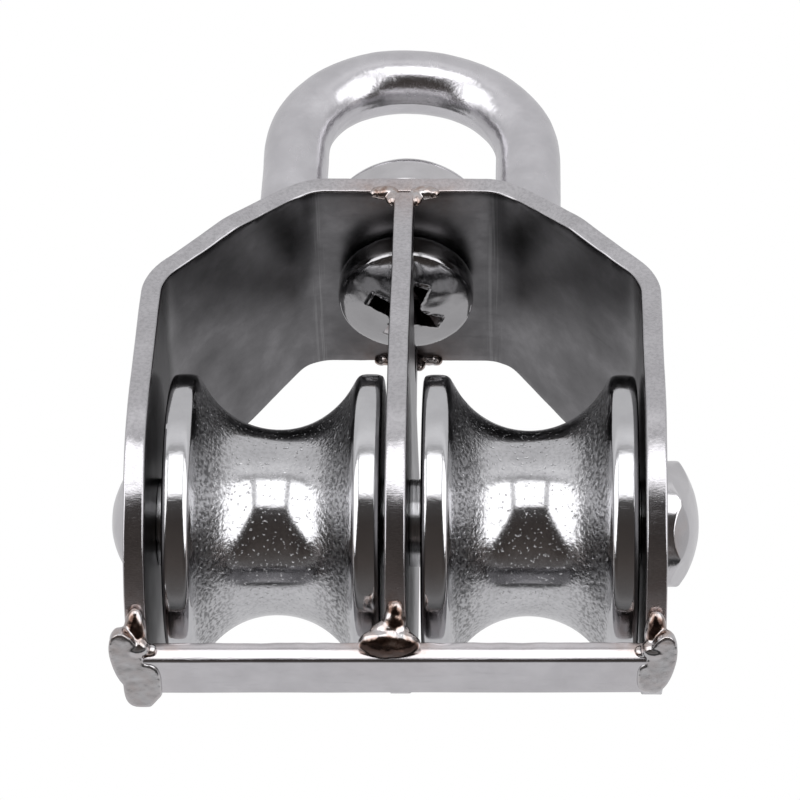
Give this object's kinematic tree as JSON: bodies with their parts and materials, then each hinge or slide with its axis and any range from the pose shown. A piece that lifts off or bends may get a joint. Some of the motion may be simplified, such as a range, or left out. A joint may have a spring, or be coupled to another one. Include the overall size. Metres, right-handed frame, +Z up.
{
  "type": "double sheave block",
  "caption": "Stainless rigging block with a swivel eye and side-by-side wide-groove sheaves on one riveted axle in a folded, welded frame.",
  "frame": {"origin": "inside crown of the eye, where the block hangs", "axes": "+Z up towards the eye, X along the axle, +X to the formed rivet head, Y from front to back, -Y the side with the bar's welds"},
  "size_m": [0.0493, 0.029, 0.0745],
  "materials": {
    "sheet_steel": "polished stainless sheet with fine scratches and smooth sawn edges",
    "cast_sheave_steel": "cast stainless, polished rims and groove floor, pitted flanks",
    "cast_eye_steel": "cast stainless, tumbled to a soft mirror",
    "rivet_steel": "formed stainless, lightly hammered and polished",
    "bush_steel": "turned stainless",
    "screw_steel": "polished stainless with burred recess edges",
    "weld_metal": "bright weld metal with straw and brown heat tint"
  },
  "bodies": {
    "eye": {"swivel_eye": "cast_eye_steel"},
    "frame": {"frame_strap": "sheet_steel", "centre_plate": "sheet_steel", "bottom_bar": "sheet_steel", "axle_rivet": "rivet_steel", "bush_left": "bush_steel", "bush_right": "bush_steel", "swivel_screw": "screw_steel", "swivel_barrel": "rivet_steel", "weld_divider_front_left": "weld_metal", "weld_divider_front_right": "weld_metal", "weld_divider_rear_left": "weld_metal", "weld_divider_rear_right": "weld_metal", "weld_bar_left": "weld_metal", "weld_bar_centre": "weld_metal", "weld_bar_right": "weld_metal"},
    "sheave_left": {"sheave_left": "cast_sheave_steel"},
    "sheave_right": {"sheave_right": "cast_sheave_steel"}
  },
  "joints": [
    {"name": "swivel", "type": "hinge", "parent": "eye", "child": "frame", "pos_m": [0, 0, -0.01835], "axis": [0, 0, 1], "continuous": true},
    {"name": "sheave_left_spin", "type": "hinge", "parent": "frame", "child": "sheave_left", "pos_m": [-0.01018, 0, -0.05135], "axis": [1, 0, 0], "continuous": true},
    {"name": "sheave_right_spin", "type": "hinge", "parent": "frame", "child": "sheave_right", "pos_m": [0.01087, 0, -0.05135], "axis": [1, 0, 0], "continuous": true}
  ]
}
